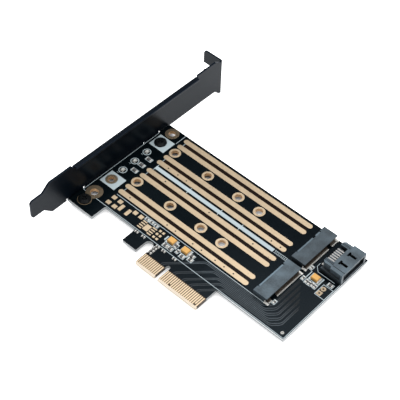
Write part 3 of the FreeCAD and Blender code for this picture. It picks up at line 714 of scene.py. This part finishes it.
def lead_finish(name, tint, socket_rear):
    """Tinned foot, and a shoulder painted dark as the shadow under its housing's overhang, split where the
    foot meets the board.
    """
    material = finish(name, tint.solder, 0.35, metallic=0.3, vary=0.1, bump=0.05, specular=0.3)
    shoulder = zone_mask(material, BOARD_LOW[0], socket_rear + 0.5, BOARD_LOW[1] - 10,
                         BOARD_HIGH[1] + 10, 0.15, (-500, 700))
    # Painted shadow on the shoulder, under the housing's overhang
    paint(material, shoulder, tint.shoulder, (-150, 700))
    return material


def floor_finish():
    """Pale matt floor, lit a little from below like a light table. The light fades
    under the card, from the sockets towards the bracket."""
    material = finish("Pale floor", (0.86, 0.86, 0.86), 0.8, vary=0.01, scale=30.0, bump=0.0,
                      specular=0.1)
    tree = material.node_tree
    shader = tree.nodes["Principled BSDF"]
    under = zone_mask(material, BOARD_LOW[0] - 3.5, BOARD_HIGH[0] - 8, LINES_LOW[1] + 1,
                      BOARD_HIGH[1] + 1, 2.0, (-700, 700))
    inward = zone_mask(material, BOARD_LOW[0] - 100, BOARD_HIGH[0] - 28, BOARD_LOW[1] - 100,
                       BOARD_HIGH[1] + 100, 45.0, (-700, 950))
    covered = node(tree, "ShaderNodeMath", (-400, 800), operation="MULTIPLY")
    tree.links.new(under, covered.inputs[0])
    tree.links.new(inward, covered.inputs[1])
    glow = node(tree, "ShaderNodeMix", (-150, 400), data_type="RGBA")
    glow.inputs["A"].default_value = (0.62, 0.62, 0.62, 1)
    glow.inputs["B"].default_value = (0.0, 0.0, 0.0, 1)
    tree.links.new(covered.outputs["Value"], glow.inputs["Factor"])
    tree.links.new(glow.outputs["Result"], shader.inputs["Emission Color"])
    shader.inputs["Emission Strength"].default_value = 1.0
    return material


def materials():
    """All finishes by plain name, made once."""
    made = getattr(materials, "made", None)
    if made:
        return made
    tint = bpy.context.scene.card_colours
    # Painted shade: the far socket gets a darker copy of the same plastic
    darker = [c * 0.68 for c in tint.plastic]
    # Finishes given an edge share carry painted highlights along their edges
    made = {
        "board": board_finish("Black lacquered laminate", tint),
        "trace": trace_finish("Copper under lacquer", tint),
        "gold": finish("Gilded copper", tint.gold, 0.3, metallic=0.68, vary=0.05,
                       rough_vary=0.03, scale=700.0, broad=90.0, bump=0.0),
        "contact": contact_finish("Gilded edge contacts", tint),
        # Painted reflection: the rings by the bracket get a darker copy of the gilding, for the black
        # bracket they mirror
        "shaded_gold": finish("Gilded rings by the bracket", [c * 0.5 for c in tint.gold], 0.3,
                              metallic=0.75, vary=0.08, scale=700.0, bump=0.0),
        "dull_gold": finish("Dull pad metal", [c * 0.62 for c in tint.gold], 0.45, metallic=0.5,
                            vary=0.25, scale=1500.0, bump=0.03),
        "lining": finish("Gilded hole lining", tint.lining, 0.4, metallic=0.5, vary=0.2,
                         scale=1500.0, bump=0.02),
        "print": finish("White print", tint.printed, 0.6, vary=0.05, scale=900.0, bump=0.03,
                        specular=0.2),
        # Painted highlight: the bracket's edges are drawn ten times lighter than its black coat
        "steel": finish("Black coated steel", tint.steel, 0.3, vary=0.2, rough_vary=0.03,
                        scale=1500.0, broad=40.0, bump=0.02, specular=0.098,
                        tint=(0.70, 0.86, 1.0), edge=9.0, edge_radius=0.25),
        # Painted highlight: the screw heads' edges are drawn four times lighter
        "screw": finish("Blackened screw", (0.004, 0.0045, 0.005), 0.3, bump=0.03, specular=0.06,
                        edge=3.0, edge_radius=0.12),
        "plastic_near": connector_plastic("Near socket plastic", tint.plastic,
                                          (SOCKET_M_LOW, SOCKET_M_HIGH)),
        "plastic_far_shaded": connector_plastic("Far socket plastic in painted shade", darker,
                                         (SOCKET_B_LOW, SOCKET_B_HIGH)),
        "plastic": connector_plastic("Port plastic", tint.plastic, reach=4.5, depth=3.2),
        "resin": finish("Orange moulded resin", tint.resin, 0.55, vary=0.08, scale=1800.0,
                        specular=0.3, edge=0.15),
        "solder": finish("Tinned metal", tint.solder, 0.32, metallic=0.4, vary=0.1, scale=900.0,
                         bump=0.05),
        "pin": finish("Port lead metal", (0.27, 0.26, 0.25), 0.35, metallic=0.4, vary=0.15,
                      scale=1200.0, bump=0.03),
        "lead": lead_finish("Socket lead", tint, SOCKET_M_HIGH[0]),
        "lamp": finish("Clear lamp resin", (0.42, 0.43, 0.40), 0.25, vary=0.05, coat=0.2,
                       specular=0.3),
        "chip": finish("Chip ceramic", (0.055, 0.052, 0.050), 0.5, vary=0.15, scale=1500.0,
                       specular=0.3, edge=0.3),
        # Painted shade: a dark disc stands for the shade inside each small hole
        "via": finish("Dark via", (0.010, 0.007, 0.005), 0.6, vary=0.2, scale=2000.0, specular=0.1),
    }
    materials.made = made
    return made


NODE_FINISHES = {
    "board": "board", "bracket": "steel", "bracket_screws": "screw",
    "edge_contacts_top": "contact", "edge_contacts_bottom": "contact",
    "lane_m_strips": "gold", "lane_b_strips": "gold", "lane_m_rings": "gold",
    "lane_b_rings": "gold", "mount_rings": "shaded_gold", "power_pads": "gold",
    "chip_pads": "gold", "header_pads": "dull_gold",
    "socket_m_housing": "plastic_near", "socket_b_housing": "plastic_far_shaded",
    "sata_housing": "plastic", "sata_contacts": "pin",
    "socket_m_contacts": "lead", "socket_b_contacts": "lead",
    "socket_m_hold_downs": "solder", "socket_b_hold_downs": "solder",
    "capacitor_bodies": "resin", "capacitor_ends": "solder",
    "lamp_bodies": "lamp", "lamp_ends": "solder", "chip_bodies": "chip", "chip_ends": "solder",
    "print_squares": "print", "print_bar": "print", "print_lines": "print",
}


class ADAPTER_OT_finishes(bpy.types.Operator):
    """Give every built piece its finish"""
    bl_idname = "adapter.finishes"
    bl_label = "Finish built pieces"

    def execute(self, context):
        for name, key in NODE_FINISHES.items():
            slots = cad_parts[name].data.materials
            slots.clear()
            slots.append(materials()[key])
        return {"FINISHED"}


class ADAPTER_OT_traces(bpy.types.Operator):
    """Add the copper traces that run from the edge contacts round the near socket"""
    bl_idname = "adapter.traces"
    bl_label = "Copper traces"

    def execute(self, context):
        sizes = context.scene.card_sizes
        low, high = FACE, FACE + sizes.trace_lift / MM
        width = sizes.trace_w / MM
        order = np.arange(2 * len(TRACE_STARTS))
        pair, twin = order // 2, order % 2
        starts = TRACE_STARTS[pair] + CONTACT_PITCH * twin
        far, near = SOCKET_M_LOW[1] - TRACE_EDGES[0], LINES_LOW[1] + TRACE_EDGES[1]
        levels = np.linspace(far, near, len(order))
        columns = SOCKET_M_HIGH[0] + TRACE_CLEARANCE + TRACE_SPREAD * pair + TRACE_TWIN * twin
        ends = np.linspace(LANE_M + 8.5, LANE_M - 4.0, len(order))
        foot = CONTACTS_HIGH[1] + 0.4
        knee = foot + 1.0
        parts = []
        for start, level, column, end in zip(starts, levels, columns, ends):
            path = [
                (start, foot), (start, knee), (start + level - knee, level),
                (column - TRACE_SLANT, level), (column, level + TRACE_SLANT), (column, end),
            ]
            parts.append(ribbon(eased(path, TRACE_BEND), width, low, high))
        put("board_traces", parts, materials()["trace"])
        return {"FINISHED"}


def part_outline(low, high, cap, margin, width, bottom, top):
    """Printed frame round a small part, whose ends stand out past its body."""
    reach = np.array([cap, 0.0]) if high[0] - low[0] > high[1] - low[1] else np.array([0.0, cap])
    x0, y0 = low[:2] - reach - margin
    x1, y1 = high[:2] + reach + margin
    return frame_lines(x0, x1, y0, y1, width, bottom, top)


class ADAPTER_OT_marks(bpy.types.Operator):
    """Add the thin printed frames, rings and ticks of the component side"""
    bl_idname = "adapter.marks"
    bl_label = "Printed marks"

    def execute(self, context):
        sizes = context.scene.card_sizes
        low, high = FACE, FACE + sizes.print_lift / MM
        w = sizes.print_w / MM
        parts = self.lamp_marks(low, high, w) + self.part_marks(low, high, w)
        parts += self.lane_marks(low, high, w) + self.edge_marks(low, high, w)
        put("printed_marks", parts, materials()["print"])
        return {"FINISHED"}

    def lamp_marks(self, low, high, w):
        """Ring and dash at each lamp."""
        parts = []
        for box_low, box_high in solids("lamp_bodies"):
            x, y = (box_low + box_high)[:2] / 2
            parts.append(annulus(x, y, LAMP_RING_R, LAMP_RING_R + 1.7 * w, low, high))
            parts.append(plate(x - 0.7, y - 2.5, TICK_L, w, low, high))
        return parts

    def part_marks(self, low, high, w):
        """Frames round the small parts, with bars beside the first and last capacitor."""
        parts = []
        for box_low, box_high in solids("chip_bodies"):
            if box_low[1] > LINES_LOW[1] + 1:
                parts.append(part_outline(box_low, box_high, CHIP_END, CHIP_MARGIN, 1.1 * w,
                                          low, high))
        boxes = sorted(solids("capacitor_bodies"), key=lambda box: box[0][0])
        for box_low, box_high in boxes:
            parts.append(part_outline(box_low, box_high, CAPACITOR_END, CAPACITOR_MARGIN,
                                      1.4 * w, low, high))
        left_low, left_high = boxes[0]
        right_low, right_high = boxes[-1]
        left_y = (left_low[1] + left_high[1]) / 2
        right_y = (right_low[1] + right_high[1]) / 2
        parts.append(plate(left_low[0] - 1.5, left_y, 0.7, 2.6, low, high))
        parts.append(plate(right_high[0] + 0.75, right_y + 0.1, 1.1, 4.2, low, high))
        parts.append(plate(right_low[0] - 1.7, right_y + 0.2, 0.4, 3.8, low, high))
        return parts

    def lane_marks(self, low, high, w):
        """Ticks where a drive's screw comes, and a plain dotted band at the bar's end."""
        parts = []
        for y in [lane + side * PAIR_OFFSET for lane in (LANE_M, LANE_B) for side in (-1, 1)]:
            parts.append(plate(RING_X[-1] - 0.6, y, w, PAIR_GAP, low, high))
        for x in RING_X:
            for y in (BAR_LOW[1] - TICK_L / 2, BAR_HIGH[1] + TICK_L / 2):
                parts.append(plate(x - 0.1, y, 1.4 * w, TICK_L, low, high))
        start = BAR_HIGH[0] + 0.5
        stop = SOCKET_M_LOW[0] - 0.9
        middle = (BAR_LOW[1] + BAR_HIGH[1]) / 2
        for y in (BAR_LOW[1] + BAND_INSET, BAR_HIGH[1] - BAND_INSET):
            parts.append(ribbon([(start, y), (stop, y)], w, low, high))
        for x in np.arange(start + 0.5, stop - 0.3, DOT_PITCH):
            parts.append(plate(x, middle, *DOT_SIZE, low, high))
        return parts

    def edge_marks(self, low, high, w):
        """Line beside the far open hole, and the line round the port's rear corner."""
        line_x = STRIPS_M_LOW[0] - 1.4
        parts = [ribbon([(line_x, BOARD_HIGH[1] - 6.8), (line_x, BOARD_HIGH[1])], w, low, high)]
        rear, side = PORT_LOW[0] - 2.4, PORT_LOW[1] - 0.9
        port = [(rear, side + 4.2), (rear, side + 2.1), (rear + 2.1, side), (PORT_HIGH[0] - 2.4, side)]
        parts.append(ribbon(port, w, low, high))
        return parts


class ADAPTER_OT_pads(bpy.types.Operator):
    """Add the tinned pads under soldered ends, the tooling hole's tin and a screw's ring"""
    bl_idname = "adapter.pads"
    bl_label = "Tinned pads"

    def execute(self, context):
        low, high = FACE, FACE + PAD_LIFT
        parts = self.end_pads(low, high) + self.foot_pads(low, high)
        parts.append(annulus(TOOLING_X, TOOLING_Y, TOOLING_R - 0.1, TOOLING_R + 0.03, low, high, 24))
        parts.append(annulus(TOOLING_X, TOOLING_Y, TOOLING_R - 0.1, TOOLING_R, UNDER, FACE, 24))
        put("tinned_pads", parts, materials()["solder"])
        inner, outer = HEAD_R - SCREW_RING[0], HEAD_R + SCREW_RING[1]
        ring = annulus(MOUNT_X, SCREWS_LOW[1] + HEAD_R, inner, outer, low, high)
        # The screw's ring takes the same darker gilding, a painted reflection of the black bracket
        put("screw_ring", [ring], materials()["shaded_gold"])
        return {"FINISHED"}

    def end_pads(self, low, high):
        """Pads under the metal ends of the small parts and the sockets' hold-downs."""
        parts = []
        for name, margin in END_MARGINS.items():
            for box_low, box_high in solids(name):
                parts.append(slab(box_low, box_high, *margin, low, high))
        return parts

    def foot_pads(self, low, high):
        """Pads under the part of each lead that stands clear of its housing."""
        parts = []
        for name in ("socket_m_contacts", "socket_b_contacts"):
            for box_low, box_high in solids(name):
                foot = np.array([SOCKET_M_HIGH[0] - 0.1, box_low[1], box_low[2]])
                parts.append(slab(foot, box_high, *SOCKET_FOOT_MARGIN, low, high))
        for box_low, box_high in solids("sata_contacts"):
            foot = np.array([PORT_LOW[0], box_high[1], box_high[2]])
            parts.append(slab(box_low, foot, *PORT_FOOT_MARGIN, low, high))
        return parts


class ADAPTER_OT_vias(bpy.types.Operator):
    """Add small dark discs as painted shade for the vias on the gilded strips and the holes of the
    header's pads
    """
    bl_idname = "adapter.vias"
    bl_label = "Vias"

    def execute(self, context):
        radius = context.scene.card_sizes.via_r / MM
        low = STRIPS_M_HIGH[2]
        high = low + VIA_LIFT
        rows = (
            (STRIPS_M_LOW[1] + STRIP_W / 2, NEAR_VIAS),
            (STRIPS_B_LOW[1] + STRIP_W / 2, MIDDLE_VIAS),
            (STRIPS_M_HIGH[1] - STRIP_W / 2, FAR_VIAS),
        )
        # Dark discs painted where the holes' shade shows
        parts = [disc(x, y, radius, low, high, 12) for y, row in rows for x in row]
        for box_low, box_high in solids("header_pads"):
            x, y = (box_low + box_high)[:2] / 2
            parts.append(disc(x, y, HEADER_HOLE_R, box_high[2], box_high[2] + PAD_LIFT, 16))
        put("strip_vias", parts, materials()["via"])
        return {"FINISHED"}


class ADAPTER_OT_linings(bpy.types.Operator):
    """Line the lane holes and the open holes beside the bracket with gilded copper"""
    bl_idname = "adapter.linings"
    bl_label = "Hole linings"

    def execute(self, context):
        wall = context.scene.card_sizes.lining_t / MM
        holes = [(x, y, LANE_HOLE_R) for x in RING_X for y in (LANE_M, LANE_B)]
        holes += [(MOUNT_X, y, radius) for y, radius in MOUNT_HOLES]
        parts = [annulus(x, y, r - wall, r, UNDER, FACE, 32) for x, y, r in holes]
        put("hole_linings", parts, materials()["lining"], smooth=True)
        return {"FINISHED"}


class ADAPTER_OT_stage(bpy.types.Operator):
    """Set up the floor, the soft light and the camera"""
    bl_idname = "adapter.stage"
    bl_label = "Stage"

    def execute(self, context):
        azimuth, elevation, roll = (math.radians(a) for a in (41.192, 48.755, 2.035))
        self.add_floor(context.scene)
        self.add_light(context.scene, azimuth)
        self.add_camera(context.scene, azimuth, elevation, roll)
        context.scene.view_settings.view_transform = "Standard"
        return {"FINISHED"}

    def add_floor(self, scene):
        """Square floor at the card's lowest level."""
        half = 3.0
        level = CAD_BOX[0][2]
        corners = [(-half, -half, level), (half, -half, level), (half, half, level),
                   (-half, half, level)]
        mesh = bpy.data.meshes.new("floor")
        mesh.from_pydata(corners, [], [(0, 1, 2, 3)])
        mesh.materials.append(floor_finish())
        floor = bpy.data.objects.new("floor", mesh)
        scene.collection.objects.link(floor)

    def add_light(self, scene, azimuth):
        """Pale surroundings and one wide soft light overhead, square to the camera."""
        world = bpy.data.worlds.new("Studio")
        world.use_nodes = True
        back = world.node_tree.nodes["Background"]
        back.inputs["Color"].default_value = (0.94, 0.98, 1.06, 1.0)
        back.inputs["Strength"].default_value = 0.35
        scene.world = world
        light = bpy.data.lights.new("overhead_box", "AREA")
        light.shape = "RECTANGLE"
        light.size = 1.8
        light.size_y = 1.35
        light.energy = 3.6 * math.pi * light.size * light.size_y
        lamp = bpy.data.objects.new("overhead_box", light)
        lamp.location = (-0.04, 0.045, 0.95)
        lamp.rotation_euler = (0.0, 0.0, azimuth)
        scene.collection.objects.link(lamp)

    def add_camera(self, scene, azimuth, elevation, roll):
        """Camera whose backward axis is raised by the elevation, turned by the azimuth
        and then rolled about itself."""
        back_axis = np.array([math.sin(azimuth) * math.cos(elevation),
                              -math.cos(azimuth) * math.cos(elevation), math.sin(elevation)])
        right = np.array([math.cos(azimuth), math.sin(azimuth), 0.0])
        up = np.cross(back_axis, right)
        turn = np.eye(4)
        turn[:3, 0] = math.cos(roll) * right + math.sin(roll) * up
        turn[:3, 1] = -math.sin(roll) * right + math.cos(roll) * up
        turn[:3, 2] = back_axis
        turn[:3, 3] = (0.202898, -0.206052, 0.379379)
        data = bpy.data.cameras.new("camera")
        data.lens = 104.398
        data.sensor_width = 36.0
        data.clip_start = 0.01
        camera = bpy.data.objects.new("camera", data)
        camera.matrix_world = Matrix(turn.tolist())
        scene.collection.objects.link(camera)
        scene.camera = camera


class ADAPTER_PT_panel(bpy.types.Panel):
    """Settings and steps of the adapter card"""
    bl_idname = "ADAPTER_PT_panel"
    bl_label = "Adapter card"
    bl_space_type = "VIEW_3D"
    bl_region_type = "UI"
    bl_category = "Adapter card"

    def draw(self, context):
        layout = self.layout
        for group in (context.scene.card_colours, context.scene.card_sizes):
            for key in group.bl_rna.properties.keys():
                if key not in ("rna_type", "name"):
                    layout.prop(group, key)
        for step in STEPS:
            layout.operator(step.bl_idname)


STEPS = (
    ADAPTER_OT_finishes, ADAPTER_OT_traces, ADAPTER_OT_marks, ADAPTER_OT_pads, ADAPTER_OT_vias,
    ADAPTER_OT_linings, ADAPTER_OT_stage,
)
CLASSES = (CardColours, CardSizes) + STEPS + (ADAPTER_PT_panel,)


def register():
    """Register the classes and the two groups of settings."""
    for each in CLASSES:
        bpy.utils.register_class(each)
    bpy.types.Scene.card_colours = bpy.props.PointerProperty(type=CardColours)
    bpy.types.Scene.card_sizes = bpy.props.PointerProperty(type=CardSizes)


def unregister():
    """Undo register, in the opposite order."""
    del bpy.types.Scene.card_sizes
    del bpy.types.Scene.card_colours
    for each in reversed(CLASSES):
        bpy.utils.unregister_class(each)


def main():
    """Dress the card in order."""
    register()
    bpy.ops.adapter.finishes()
    bpy.ops.adapter.traces()
    bpy.ops.adapter.marks()
    bpy.ops.adapter.pads()
    bpy.ops.adapter.vias()
    bpy.ops.adapter.linings()
    bpy.ops.adapter.stage()


if __name__ == "__main__":
    main()
